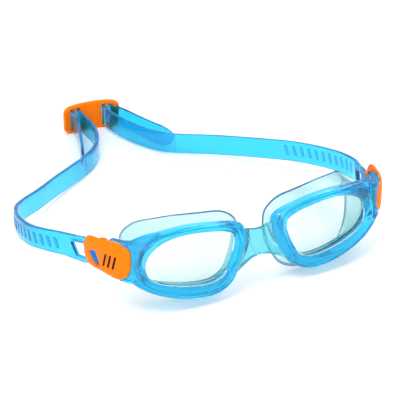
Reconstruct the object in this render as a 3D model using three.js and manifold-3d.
// Swim goggles: two rims with temple arms, a soft nose bridge, lenses, face skirts, side clips with ears,
// a flat strap on each side and a four-slot rear adjuster. Millimetres, +Z up; the front faces -Y.
import * as THREE from "three";
import { mergeVertices } from "three/addons/utils/BufferGeometryUtils.js";
import Module from "manifold-3d";

const wasm = await Module();
wasm.setup();

// ---- Driving dimensions ------------------------------------------------------------------------
const GAP = 0.3; // clearance between pieces that touch on the real object
const EYE_Z = 24.2; // height of the eye line above the table
const RIM_STATIONS = 48;
const SKIRT_STATIONS = 40;

// Lens opening, clockwise from the temple: x and z of each point on the right-hand rim.
const OPENING = [
  [58.6, 25.5], [56.6, 29.9], [51.2, 34.1], [43.5, 36.2], [35.4, 36.3], [27, 35.3], [19.4, 33.8],
  [14.6, 31.4], [13.7, 28], [14.8, 23.2], [17, 18], [19.8, 12.9], [25.4, 10.2], [35.4, 10.7],
  [45, 12.8], [53.5, 15.8], [57.8, 20],
];
// Outer edge of the rim, one point for each opening point.
const OUTLINE = [
  [68.4, 27], [67, 35.2], [59.5, 38.9], [47, 39.8], [36, 40.1], [26, 39.2], [15.8, 36.8],
  [11.2, 33.8], [9.8, 28], [10.8, 21.8], [13.4, 15.2], [16.8, 8.8], [23.4, 5.2], [35, 4.9],
  [48, 8], [59, 13], [66.4, 19.5],
];
// Free edge of the face skirt, one point for each opening point: x, y, z.
const LIP = [
  [61, 26.5, 23], [60, 27, 32], [55, 24.2, 37.6], [47, 19.5, 40.2], [38, 16.8, 40.9], [26, 15, 40.2],
  [13.8, 14.1, 38.2], [7.4, 13.5, 33], [6.2, 12.8, 26], [7.4, 12, 18.5], [10.2, 11, 10.8],
  [14.6, 9.6, 4.1], [22, 8.2, 1.1], [33, 9, 0.7], [45, 13, 2.4], [55, 19.5, 7], [60, 24.5, 14],
];
// Rim section: fraction of the way from opening to outer edge, and depth behind the front surface.
const RIM_SECTION = [
  [0, 1.3], [0.2, 0.25], [0.36, 0], [0.48, 0.4], [0.56, 1], [0.66, 0.35], [0.84, 0.1], [0.96, 0.9],
  [1, 2.2], [1, 3.2], [0.62, 6.8], [0.22, 6.8], [0.16, 6.2], [0.16, 2.8], [0, 2.6],
];

// Lens: a plug through the rim and a flange behind the rim's lip; across as section fractions.
const LENS_FILLS = [0.2, 0.6, 1];
const LENS = { centre: [36, 24], seat: 0.1, lip: -0.06, front: 1.5, flange: 3.1, back: 4.7 };
// Skirt: a foot behind the rim, then a flare that leaves the foot at its heel and ends at the lip.
const SKIRT = { start: 7.1, wrap: 8.6, inner: 0.04, outer: 0.42, heel: 0.1, thick: 1.0, pull: 0.25 };
const SKIRT_FLARE = [0.35, 0.7, 1]; // how far along the flare its rings stand
const RIM_WALL = 0.16; // section fraction of the wall round the lens flange
const SKIRT_ROOM = 0.05; // free width beside the skirt's foot, as a section fraction
const SKIRT_ROOM_DEPTH = 20;
// Nose flare: the rim's outer wall slants towards the nose as it goes back, on this stretch of outline.
const FLARE = { slope: 0.9, from: 22, run: 12 };
const BRIDGE = {
  reach: 16.8, step: 1.2, front: 3, forward: 0.8, meets: 9, back: 5.6, edge: 0.7, top: 29.4, topLimit: 34,
  bottom: 16.8, rise: 0.042, drop: 0.0285, rimEdge: 1.08,
};
const RIM_REACH = 12; // depth in front of and behind the front surface that holds the whole rim

// Temple side: the curve that the clip's outer face follows, seen from above, and its sizes.
const SIDE = [
  [59, 2.7], [62, 3.3], [65.5, 4.7], [68.6, 7.1], [71.3, 10.8], [73.6, 15.5], [75.4, 20.5], [76.9, 26],
  [77.9, 31.5], [78.8, 37],
];
const CLIP = {
  bulge: 0.8, crown: 1.2, thick: 1.6, steps: 18, pocket: 8,
  bossFrom: 9.2, bossTo: 13.2, bossLow: 22, bossHigh: 32, bossDepth: 2.6,
};
const CLIP_BANDS = [0, 0.12, 0.3, 0.5, 0.7, 0.88, 1]; // rows of the outer face, lower edge to upper edge
// Clip outline as pairs of lower and upper edge points: distance along the side curve, height.
const CLIP_LOW = [
  [6.8, 27], [7.4, 23.6], [9.2, 20.6], [12.4, 18.9], [18, 19.4], [24, 20], [30, 20.1], [33.4, 21.4],
  [35.4, 24.6],
];
const CLIP_HIGH = [
  [6.8, 31.5], [7.6, 34.8], [10, 36.6], [13.5, 37.5], [19, 37.1], [24, 36.2], [29, 35.8], [33, 34.4],
  [35.8, 30],
];
const CLIP_SLOT = [[31, 28.5], [25.9, 30.3], [22.4, 22.9], [26.6, 21.6]];
const ARM = {
  start: 2.5, end: 19.6, steps: 10, thick: 5.2, edge: 1.1, low: [16.6, 19.8], high: [38, 37.2],
  frontSink: 1.4, flush: 6.5, rearSink: 1.3, rearFrom: 12,
};

// Strap: the cross bar turns about a vertical axis in two C-shaped ears on the clip's inner face.
const BAR = { x: 72.2, y: 20.5, r: 1.3, low: 20.4, high: 34.4, sides: 24 };
const EAR = { inner: 1.8, outer: 2.95, from: -25, to: 190, steps: 14 };
const EAR_LEVELS = [[20.4, 21.6], [33.1, 34.3]];
const STRAP = { width: 11.2, thick: 1.8, round: 0.3, taper: 0.1, steps: 38, tipWidth: 0.1 };
const TAB = {
  route: [
    [72.2, 20.5, 27.3], [73.7, 27, 25.4], [74.7, 31.5, 24.4], [76.2, 36, 23.5], [78, 41, 22.7],
    [79.8, 46, 21.9],
  ],
  heights: [10.6, 13.4, 11.8],
  windowWall: [60, 90],
  steps: 14,
};
// Opening in the tab, seen from the side: y and z.
const WINDOW = [[30.5, 20], [37.4, 19.2], [38.2, 19.8], [41, 25.2], [40.4, 26.1], [30.5, 28.1]];
// Strap routes from the tab's end to the adjuster, chosen by hand: x, y, height of the strap's centre.
const LEFT_RUN = [
  [-79.9, 46.3, 21.9], [-84.5, 56.9, 20], [-87.6, 67, 18.2], [-88.1, 76, 16.7], [-86.8, 87, 14.9],
  [-83.2, 96.5, 13.3], [-78, 102.5, 12.2], [-63.2, 114.4, 9.8], [-50.4, 125.1, 8.1], [-37.7, 134.4, 7],
  [-28.5, 140.6, 6.6], [-19.2, 148, 6.4], [-11.9, 156.9, 6.4], [-7.4, 167.2, 6.7], [-5.8, 177, 7.2],
  [-6.1, 184.4, 7.8], [-6.2, 190.4, 8.1],
];
const RIGHT_RUN = [
  [79.9, 46.3, 21.9], [79.9, 59.3, 20.4], [77.6, 70.3, 18.8], [74.4, 80.2, 17.2], [69.3, 91.9, 15.2],
  [63.2, 102, 13.4], [53.2, 116.2, 11], [42.3, 129.4, 8.9], [30.1, 141, 7.3], [23.8, 147.2, 6.9],
  [18.9, 155, 6.7], [14.6, 164.5, 6.8], [11.2, 174.5, 7.2], [9.2, 182.5, 7.8], [8.5, 189.1, 8.1],
];
// Spare tails, from just in front of the outer slot to the free end.
const LEFT_TAIL = [
  [-10.6, 187.5, 8], [-13, 178, 7.6], [-16.3, 168.5, 7], [-20.1, 158.3, 6.4], [-24.2, 147.8, 6.1],
];
const RIGHT_TAIL = [
  [14.1, 187.2, 8.5], [16, 182, 8.7], [17.9, 176.5, 8.4], [21.1, 167.8, 7.8], [24.8, 160, 7],
  [28.4, 154, 6.4], [31.9, 151.3, 6.1],
];
const TAIL = { thick: 1.6, lead: [-5, -2], leave: -2.6, clear: 0.4, tip: 9, steps: 46 };

const ADJUSTER = {
  centre: [1.6, 195, 8.1], turn: -5, width: 32.5, height: 16.2, thick: 2.6, bow: 2.6, barrel: 0.9,
  level: 5.2, corner: 3, edge: 0.7, steps: 20, inner: 7.4, outer: 11.2,
  slot: 2.3, slotHeight: 12.6, slotDepth: 6,
};

// ---- Colours and finishes ----------------------------------------------------------------------
const finish = (color, roughness, opacity) =>
  new THREE.MeshStandardMaterial({ color, roughness, metalness: 0, transparent: opacity < 1, opacity });
const BLUE = finish(0x2aa9ee, 0.2, 0.8);
const AQUA = finish(0x5fd2e2, 0.25, 0.6);
const CLEAR = finish(0xeefafc, 0.05, 0.25);
const SOFT = finish(0xb9efee, 0.3, 0.45);
const ORANGE = finish(0xff8800, 0.35, 1);

// ---- Solid building ----------------------------------------------------------------------------
const vec = (p) => new THREE.Vector3(p[0], p[1], p[2] ?? 0);
const routeCurve = (points) => new THREE.CatmullRomCurve3(points.map((p) => vec(p)), false, "centripetal");
const closedCurve = (points) => new THREE.CatmullRomCurve3(points.map((p) => vec(p)), true, "centripetal");

function signedVolume(points, index) {
  let sum = 0;
  for (let i = 0; i < index.length; i += 3) {
    const [a, b, c] = [points[index[i]], points[index[i + 1]], points[index[i + 2]]];
    sum += a.dot(b.clone().cross(c));
  }
  return sum / 6;
}

// Closed body through a list of rings with equal numbers of points, end to end or round in a loop.
function loft(rings, loop = false) {
  const count = rings.length;
  const size = rings[0].length;
  const points = rings.flat();
  const index = [];
  const spans = loop ? count : count - 1;
  for (let i = 0; i < spans; i++) {
    for (let j = 0; j < size; j++) {
      const a = i * size + j;
      const b = i * size + ((j + 1) % size);
      const c = ((i + 1) % count) * size + j;
      const d = ((i + 1) % count) * size + ((j + 1) % size);
      index.push(a, c, b, b, c, d);
    }
  }
  if (!loop) {
    const last = (count - 1) * size;
    for (let j = 1; j < size - 1; j++) {
      index.push(0, j, j + 1);
      index.push(last, last + j + 1, last + j);
    }
  }
  if (signedVolume(points, index) < 0) index.reverse();
  const geometry = new THREE.BufferGeometry().setFromPoints(points);
  geometry.setIndex(index);
  return geometry;
}

function toManifold(geometry) {
  const bare = geometry.clone();
  bare.deleteAttribute("normal");
  bare.deleteAttribute("uv");
  const merged = mergeVertices(bare, 1e-4);
  const vertProperties = new Float32Array(merged.attributes.position.array);
  const triVerts = new Uint32Array(merged.index.array);
  return new wasm.Manifold(new wasm.Mesh({ numProp: 3, vertProperties, triVerts }));
}

function toGeometry(solid) {
  const mesh = solid.getMesh();
  const geometry = new THREE.BufferGeometry();
  geometry.setAttribute("position", new THREE.BufferAttribute(new Float32Array(mesh.vertProperties), 3));
  geometry.setIndex(Array.from(mesh.triVerts));
  return geometry;
}

// Join the first list of shapes and cut away the second.
function carve(joined, removed = []) {
  let solid = toManifold(joined[0]);
  for (const shape of joined.slice(1)) solid = solid.add(toManifold(shape));
  for (const shape of removed) solid = solid.subtract(toManifold(shape));
  return toGeometry(solid);
}

function prism(points, low, high) {
  const shape = new THREE.Shape(points.map((p) => new THREE.Vector2(p[0], p[1])));
  const solid = new THREE.ExtrudeGeometry(shape, { depth: high - low, bevelEnabled: false });
  return solid.translate(0, 0, low);
}

function mirrored(geometry) {
  const copy = geometry.clone().scale(-1, 1, 1);
  copy.setIndex(Array.from(copy.index.array).reverse());
  return copy;
}

// ---- Rims, lenses and skirts -------------------------------------------------------------------
// Front surface of the goggles: nearly flat, curving back at the temple and leaning back at the top.
function frontSurface(x, z) {
  const u = x / 50;
  return 0.158 * (z - EYE_Z) - 0.9 * u ** 2 + 2 * u ** 4;
}

const openingCurve = closedCurve(OPENING);
const outlineCurve = closedCurve(OUTLINE);
const lipCurve = closedCurve(LIP);

// Point on the rim: u goes round the lens, across goes from the opening to the outer edge.
function rimPoint(u, across, depth) {
  const edge = outlineCurve.getPoint(u);
  const flare = FLARE.slope * THREE.MathUtils.smoothstep(FLARE.from - edge.x, 0, FLARE.run);
  const flat = openingCurve.getPoint(u).lerp(edge, across);
  return new THREE.Vector3(flat.x - flare * across * depth, frontSurface(flat.x, flat.y) + depth, flat.y);
}

function roundTheLens(stations, ringAt) {
  return loft(Array.from({ length: stations }, (_, i) => ringAt(i / stations)), true);
}

function rimRing() {
  return roundTheLens(RIM_STATIONS, (u) => RIM_SECTION.map(([across, depth]) => rimPoint(u, across, depth)));
}

// Ring at one depth, filling the rim's plan out to a given fraction; fill shrinks it to the middle.
function plateRing(across, depth, fill = 1) {
  return Array.from({ length: RIM_STATIONS }, (_, i) => {
    const edge = rimPoint(i / RIM_STATIONS, across, 0);
    const x = THREE.MathUtils.lerp(LENS.centre[0], edge.x, fill);
    const z = THREE.MathUtils.lerp(LENS.centre[1], edge.z, fill);
    return new THREE.Vector3(x, frontSurface(x, z) + depth, z);
  });
}

// Curved plate between two depths; its faces follow the front surface.
function lensPlate(across, front, back) {
  const face = LENS_FILLS.map((fill) => plateRing(across, front, fill));
  const rear = LENS_FILLS.map((fill) => plateRing(across, back, fill));
  return loft([...face, ...rear.reverse()]);
}

function lensBody() {
  const { lip, seat, front, flange, back } = LENS;
  const face = LENS_FILLS.map((fill) => plateRing(lip, front, fill));
  const rear = LENS_FILLS.map((fill) => plateRing(seat, back, fill));
  return loft([...face, plateRing(lip, flange), plateRing(seat, flange), ...rear.reverse()]);
}

function skirtRing(u) {
  const lip = lipCurve.getPoint(u);
  const heel = rimPoint(u, SKIRT.outer, SKIRT.wrap);
  const bend = heel.clone().lerp(lip, SKIRT.pull).setY((heel.y + lip.y * 2) / 3);
  const flare = new THREE.QuadraticBezierCurve3(heel, bend, lip);
  const inward = rimPoint(u, 0, 0).sub(lip).setY(0).setLength(SKIRT.thick);
  const outside = SKIRT_FLARE.map((t) => flare.getPoint(t));
  const inside = outside.map((p) => p.clone().add(inward)).reverse();
  const foot = [rimPoint(u, SKIRT.inner, SKIRT.start), rimPoint(u, SKIRT.outer, SKIRT.start), heel];
  return [...foot, ...outside, ...inside, rimPoint(u, SKIRT.heel, SKIRT.wrap)];
}

// ---- Nose bridge -------------------------------------------------------------------------------
// Outline of a block between two depths and two heights, with its four long edges cut off.
function chamfered(front, back, low, high, edge) {
  return [
    [front, low + edge], [front, high - edge], [front + edge, high], [back - edge, high],
    [back, high - edge], [back, low + edge], [back - edge, low], [front + edge, low],
  ];
}

// The bridge's front face is set back in the middle and comes forward to meet the rims.
function bridgeBlock() {
  const { reach, step, edge } = BRIDGE;
  const rings = [];
  for (let x = -reach; x <= reach; x += step) {
    const high = Math.min(BRIDGE.top + BRIDGE.rise * x ** 2, BRIDGE.topLimit);
    const low = BRIDGE.bottom - BRIDGE.drop * x ** 2;
    const front = BRIDGE.front - BRIDGE.forward * Math.min((x / BRIDGE.meets) ** 2, 1);
    const section = chamfered(front, BRIDGE.back, low, high, edge);
    rings.push(section.map(([depth, z]) => new THREE.Vector3(x, frontSurface(x, z) + depth, z)));
  }
  return loft(rings);
}

// The bridge ends where the two rims begin, with a small gap along each rim's outer wall.
function bridgeBody() {
  const edgeRing = (depth) =>
    Array.from({ length: RIM_STATIONS }, (_, i) => rimPoint(i / RIM_STATIONS, BRIDGE.rimEdge, depth));
  const rimZone = loft([edgeRing(-RIM_REACH), edgeRing(RIM_REACH)]);
  return carve([bridgeBlock()], [rimZone, mirrored(rimZone)]);
}

// ---- Temple side: arm, clip and strap tab --------------------------------------------------------
const sideCurve = routeCurve(SIDE);
const sideLength = sideCurve.getLength();

// Point at a distance along the side curve, at an offset to the outside and a height.
function onSide(along, offset, z) {
  const u = THREE.MathUtils.clamp(along / sideLength, 0, 1);
  const at = sideCurve.getPointAt(u);
  const tangent = sideCurve.getTangentAt(u);
  return new THREE.Vector3(at.x + tangent.y * offset, at.y - tangent.x * offset, z);
}

const clipLow = routeCurve(CLIP_LOW);
const clipHigh = routeCurve(CLIP_HIGH);

// Cross-section of the clip's plate, s of the way along it: outer face from low to high, then the back.
function clipSection(s, bulge, crown, inner, grow) {
  const [low, high] = [clipLow.getPoint(s), clipHigh.getPoint(s)];
  const shift = grow * (2 * s - 1);
  const at = (t, offset) => {
    const along = THREE.MathUtils.lerp(low.x, high.x, t) + shift;
    return onSide(along, offset, THREE.MathUtils.lerp(low.y - grow, high.y + grow, t));
  };
  const face = CLIP_BANDS.map((t) => {
    const outward = Math.max(Math.abs(2 * t - 1), Math.abs(2 * s - 1));
    return at(t, bulge - crown * outward ** 3);
  });
  return [...face, at(1, inner), at(0, inner)];
}

// Curved plate with the clip's outline; grow widens it all round.
function sidePlate(bulge, crown, inner, grow) {
  const steps = Array.from({ length: CLIP.steps + 1 }, (_, i) => i / CLIP.steps);
  return loft(steps.map((s) => clipSection(s, bulge, crown, inner, grow)));
}

// Straight-sided plug that runs through the side wall: points are distance along and height.
function sidePlug(points, outer, inner) {
  return loft([outer, inner].map((offset) => points.map(([along, z]) => onSide(along, offset, z))));
}

function rectangle(from, to, low, high) {
  return [[from, low], [to, low], [to, high], [from, high]];
}

// Skin of the arm against the side curve: it rises out of the rim and falls away again behind the clip.
function armSkin(along) {
  const rising = Math.max(0, (ARM.flush - along) / (ARM.flush - ARM.start));
  const falling = Math.max(0, (along - ARM.rearFrom) / (ARM.end - ARM.rearFrom));
  return -ARM.frontSink * rising ** 2 - ARM.rearSink * falling ** 2;
}

function armBlock() {
  const shares = Array.from({ length: ARM.steps + 1 }, (_, i) => i / ARM.steps);
  return loft(shares.map((share) => {
    const along = THREE.MathUtils.lerp(ARM.start, ARM.end, share);
    const low = THREE.MathUtils.lerp(...ARM.low, share);
    const high = THREE.MathUtils.lerp(...ARM.high, share);
    const section = chamfered(-ARM.thick, armSkin(along), low, high, ARM.edge);
    return section.map(([offset, z]) => onSide(along, offset, z));
  }));
}

function bossShape(grow) {
  return rectangle(CLIP.bossFrom - grow, CLIP.bossTo + grow, CLIP.bossLow - grow, CLIP.bossHigh + grow);
}

// The arm is hollowed where the lens and the skirt's foot sit, and the clip has a pocket in its side.
function frameBody() {
  const pocketFloor = -CLIP.thick - GAP;
  const clipRoom = sidePlate(CLIP.pocket, 0, pocketFloor, GAP);
  const bossRoom = sidePlug(bossShape(GAP), 0, pocketFloor - CLIP.bossDepth);
  const lensRoom = lensPlate(RIM_WALL, LENS.flange - GAP, SKIRT.wrap);
  const skirtRoom = lensPlate(SKIRT.outer + SKIRT_ROOM, SKIRT.start - GAP, SKIRT_ROOM_DEPTH);
  const arm = carve([armBlock()], [lensRoom, skirtRoom]);
  return carve([rimRing(), arm], [clipRoom, bossRoom]);
}

function arc(radius) {
  return Array.from({ length: EAR.steps + 1 }, (_, i) => {
    const angle = THREE.MathUtils.degToRad(THREE.MathUtils.lerp(EAR.from, EAR.to, i / EAR.steps));
    return [BAR.x + radius * Math.cos(angle), BAR.y + radius * Math.sin(angle)];
  });
}

// C-shaped ear round the strap's cross bar, between two heights.
function ear([low, high]) {
  return prism([...arc(EAR.outer), ...arc(EAR.inner).reverse()], low, high);
}

function clipBody() {
  const slotCutter = sidePlug(CLIP_SLOT, CLIP.pocket, -CLIP.thick - GAP);
  const plate = carve([sidePlate(CLIP.bulge, CLIP.crown, -CLIP.thick, 0)], [slotCutter]);
  const boss = sidePlug(bossShape(0), -CLIP.thick / 2, -CLIP.thick - CLIP.bossDepth);
  return carve([plate, boss, ...EAR_LEVELS.map(ear)]);
}

// ---- Strap ---------------------------------------------------------------------------------------
// Cross-section of a flat strap: across its thickness and up its width.
function strapSection(width, thick) {
  const [flat, half, round] = [thick / 2, width / 2, thick * STRAP.round];
  return [
    [flat, half - round], [flat, round - half], [flat - round, -half], [round - flat, -half],
    [-flat, round - half], [-flat, half - round], [round - flat, half], [flat - round, half],
  ];
}

// Flat strap along a curve, standing on edge; widthAt gives its width at a share of the way along.
function strapAlong(curve, steps, widthAt, thick) {
  const shares = Array.from({ length: steps + 1 }, (_, i) => i / steps);
  return loft(shares.map((share) => {
    const at = curve.getPointAt(share);
    const tangent = curve.getTangentAt(share).setZ(0).normalize();
    const side = new THREE.Vector3(tangent.y, -tangent.x, 0);
    const section = strapSection(widthAt(share), thick);
    return section.map(([across, up]) => at.clone().addScaledVector(side, across).setZ(at.z + up));
  }));
}

// Cutter for the window, which is drawn along Y and Z; it runs right through the tab along X.
function windowCutter() {
  const cutter = prism(WINDOW, ...TAB.windowWall);
  return cutter.applyMatrix4(new THREE.Matrix4().set(0, 0, 1, 0, 1, 0, 0, 0, 0, 1, 0, 0, 0, 0, 0, 1));
}

// Upright round bar or cutter on the swivel's axis.
function axisCylinder(radius, low, high) {
  const cylinder = new THREE.CylinderGeometry(radius, radius, high - low, BAR.sides);
  return cylinder.rotateX(Math.PI / 2).translate(BAR.x, BAR.y, (low + high) / 2);
}

function tabBody() {
  const widths = new THREE.SplineCurve(TAB.heights.map((height, i) => new THREE.Vector2(i, height)));
  const band = strapAlong(routeCurve(TAB.route), TAB.steps, (share) => widths.getPoint(share).y, STRAP.thick);
  const earRooms = EAR_LEVELS.map(([low, high]) => axisCylinder(EAR.outer + GAP, low - GAP, high + GAP));
  return carve([carve([band], [windowCutter(), ...earRooms]), axisCylinder(BAR.r, BAR.low, BAR.high)]);
}

// The run starts as wide as the tab's end and narrows to the strap's own width.
function runWidth(share) {
  const taper = Math.max(0, 1 - share / STRAP.taper);
  return STRAP.width + (TAB.heights.at(-1) - STRAP.width) * taper ** 2;
}

// Adjuster's own axes: u along its width, v to the rear, both level.
const [TURN_COS, TURN_SIN] = [Math.cos, Math.sin].map((f) => f(THREE.MathUtils.degToRad(ADJUSTER.turn)));
function atAdjuster(u, v, z = ADJUSTER.centre[2]) {
  const [x, y] = ADJUSTER.centre;
  return [x + u * TURN_COS - v * TURN_SIN, y + u * TURN_SIN + v * TURN_COS, z];
}

// The adjuster is bowed: its ends lie further forward than its middle.
const slotBow = (u) => ADJUSTER.bow * (u / (ADJUSTER.width / 2)) ** 2;

// Through the inner slot, round the bar between the slots, back through the outer slot, along the tail.
function tailRoute(side, tail) {
  const middle = (ADJUSTER.inner + ADJUSTER.outer) / 2;
  const radius = (ADJUSTER.outer - ADJUSTER.inner) / 2;
  const rear = ADJUSTER.thick / 2 + TAIL.clear - slotBow(middle);
  const turn = [90, 60, 30, 0, -30, -60, -90].map((degrees) => {
    const angle = THREE.MathUtils.degToRad(degrees);
    return atAdjuster(side * (middle - radius * Math.sin(angle)), rear + radius * Math.cos(angle));
  });
  const lead = TAIL.lead.map((v) => atAdjuster(side * ADJUSTER.inner, v));
  return routeCurve([...lead, ...turn, atAdjuster(side * ADJUSTER.outer, TAIL.leave), ...tail]);
}

// The tail keeps the strap's width until its rounded free end.
function tailBody(side, tail) {
  const route = tailRoute(side, tail);
  const length = route.getLength();
  const widthAt = (share) => {
    const into = Math.max(0, 1 - ((1 - share) * length) / TAIL.tip);
    return STRAP.width * Math.sqrt(Math.max(1 - into ** 2, STRAP.tipWidth));
  };
  return strapAlong(route, TAIL.steps, widthAt, TAIL.thick);
}

function adjusterSection(u) {
  const { corner, thick, edge, centre } = ADJUSTER;
  const half = ADJUSTER.width / 2;
  const into = Math.max(0, Math.abs(u) - (half - corner));
  const cut = corner - Math.sqrt(Math.max(corner ** 2 - into ** 2, (corner / 4) ** 2));
  const ease = Math.max(0, (Math.abs(u) - ADJUSTER.level) / (half - ADJUSTER.level));
  const reach = ADJUSTER.height / 2 - ADJUSTER.barrel * ease ** 2 - cut;
  const front = -slotBow(u) - thick / 2;
  const section = chamfered(front, front + thick, centre[2] - reach, centre[2] + reach, edge);
  return section.map(([v, z]) => vec(atAdjuster(u, v, z)));
}

function adjusterSlot(u) {
  const { slot, slotHeight, slotDepth, centre } = ADJUSTER;
  const [low, high] = [centre[2] - slotHeight / 2, centre[2] + slotHeight / 2];
  const shape = rectangle(u - slot / 2, u + slot / 2, low, high);
  return loft([-slotDepth, slotDepth].map((v) => shape.map(([a, z]) => vec(atAdjuster(a, v, z)))));
}

function adjusterBody() {
  const { inner, outer, width, steps } = ADJUSTER;
  const angles = Array.from({ length: steps + 1 }, (_, i) => (Math.PI * i) / steps);
  const body = loft(angles.map((angle) => adjusterSection((-width / 2) * Math.cos(angle))));
  return carve([body], [-outer, -inner, inner, outer].map(adjusterSlot));
}

// ---- Assembly ------------------------------------------------------------------------------------
const group = new THREE.Group();
group.name = "swim_goggles";

function addPiece(name, geometry, material) {
  const mesh = new THREE.Mesh(geometry, material);
  mesh.name = name;
  group.add(mesh);
}

const PAIRS = [
  ["frame", frameBody(), BLUE],
  ["lens", lensBody(), CLEAR],
  ["skirt", roundTheLens(SKIRT_STATIONS, skirtRing), SOFT],
  ["clip", clipBody(), ORANGE],
  ["strap_tab", tabBody(), BLUE],
];
for (const [name, geometry, material] of PAIRS) {
  addPiece(`right_${name}`, geometry, material);
  addPiece(`left_${name}`, mirrored(geometry), material);
}
addPiece("nose_bridge", bridgeBody(), AQUA);
addPiece("left_strap_run", strapAlong(routeCurve(LEFT_RUN), STRAP.steps, runWidth, STRAP.thick), BLUE);
addPiece("right_strap_run", strapAlong(routeCurve(RIGHT_RUN), STRAP.steps, runWidth, STRAP.thick), BLUE);
addPiece("left_strap_tail", tailBody(-1, LEFT_TAIL), BLUE);
addPiece("right_strap_tail", tailBody(1, RIGHT_TAIL), BLUE);
addPiece("strap_adjuster", adjusterBody(), ORANGE);

// Centre the goggles over the origin and stand them on z = 0.
const bounds = new THREE.Box3().setFromObject(group, true);
const centre = bounds.getCenter(new THREE.Vector3());
group.position.set(-centre.x, -centre.y, -bounds.min.z);

export default group;
